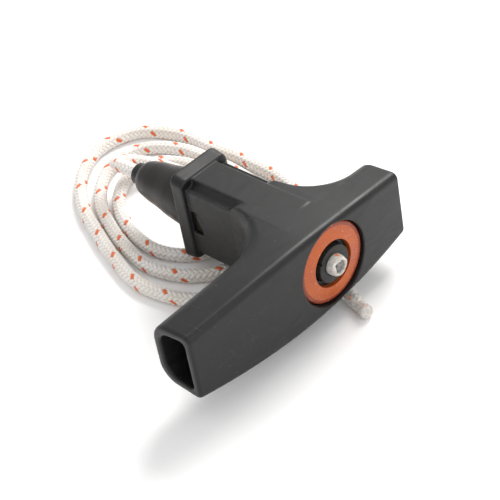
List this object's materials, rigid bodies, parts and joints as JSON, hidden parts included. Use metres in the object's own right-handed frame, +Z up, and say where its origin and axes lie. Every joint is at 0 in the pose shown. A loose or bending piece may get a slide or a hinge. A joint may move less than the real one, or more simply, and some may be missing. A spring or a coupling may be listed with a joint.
{
  "type": "recoil starter grip",
  "caption": "T-shaped starter grip with a spring-assist plunger in its neck, a nose cone and a loosely coiled braided starter rope with a fused end.",
  "frame": {"origin": "centre of the grip's box without its rope; the rope axis lies 10.7 mm to its right", "axes": "+Y along the rope axis towards the nose, +X along the crossbar, +Z up"},
  "size_m": [0.0909, 0.1274, 0.0334],
  "materials": {
    "grip_nylon": "satin glass-filled nylon",
    "badge_orange": "semi-gloss orange",
    "plunger_nylon": "grainy matt black",
    "rope_braid": "white braid with orange tracer",
    "rope_fused": "melted and hardened rope end",
    "rope_core": "grey core yarns, fused",
    "spring_steel": "plain spring steel",
    "washer_steel": "zinc plated",
    "bush_nylon": "smooth brownish black",
    "ferrule": "worn black"
  },
  "bodies": {
    "root": {"grip_body": "grip_nylon", "badge_ring": "badge_orange", "assist_spring": "spring_steel", "spring_seat": "washer_steel", "rope_bush": "bush_nylon", "nose_ferrule": "ferrule", "starter_rope": "rope_braid", "rope_tail": "rope_fused"},
    "plunger": {"knot_plunger": "plunger_nylon", "rope_stop": "rope_fused", "rope_core_end": "rope_core", "plunger_washer": "washer_steel", "inner_rope": "rope_braid"}
  },
  "joints": [
    {"name": "plunger_slide", "type": "slide", "parent": "root", "child": "plunger", "axis": [0, 1, 0], "range_m": [0, 0.011], "stiffness_N_per_m": 6000, "springref_m": -0.002, "deforming": ["assist_spring"]}
  ]
}
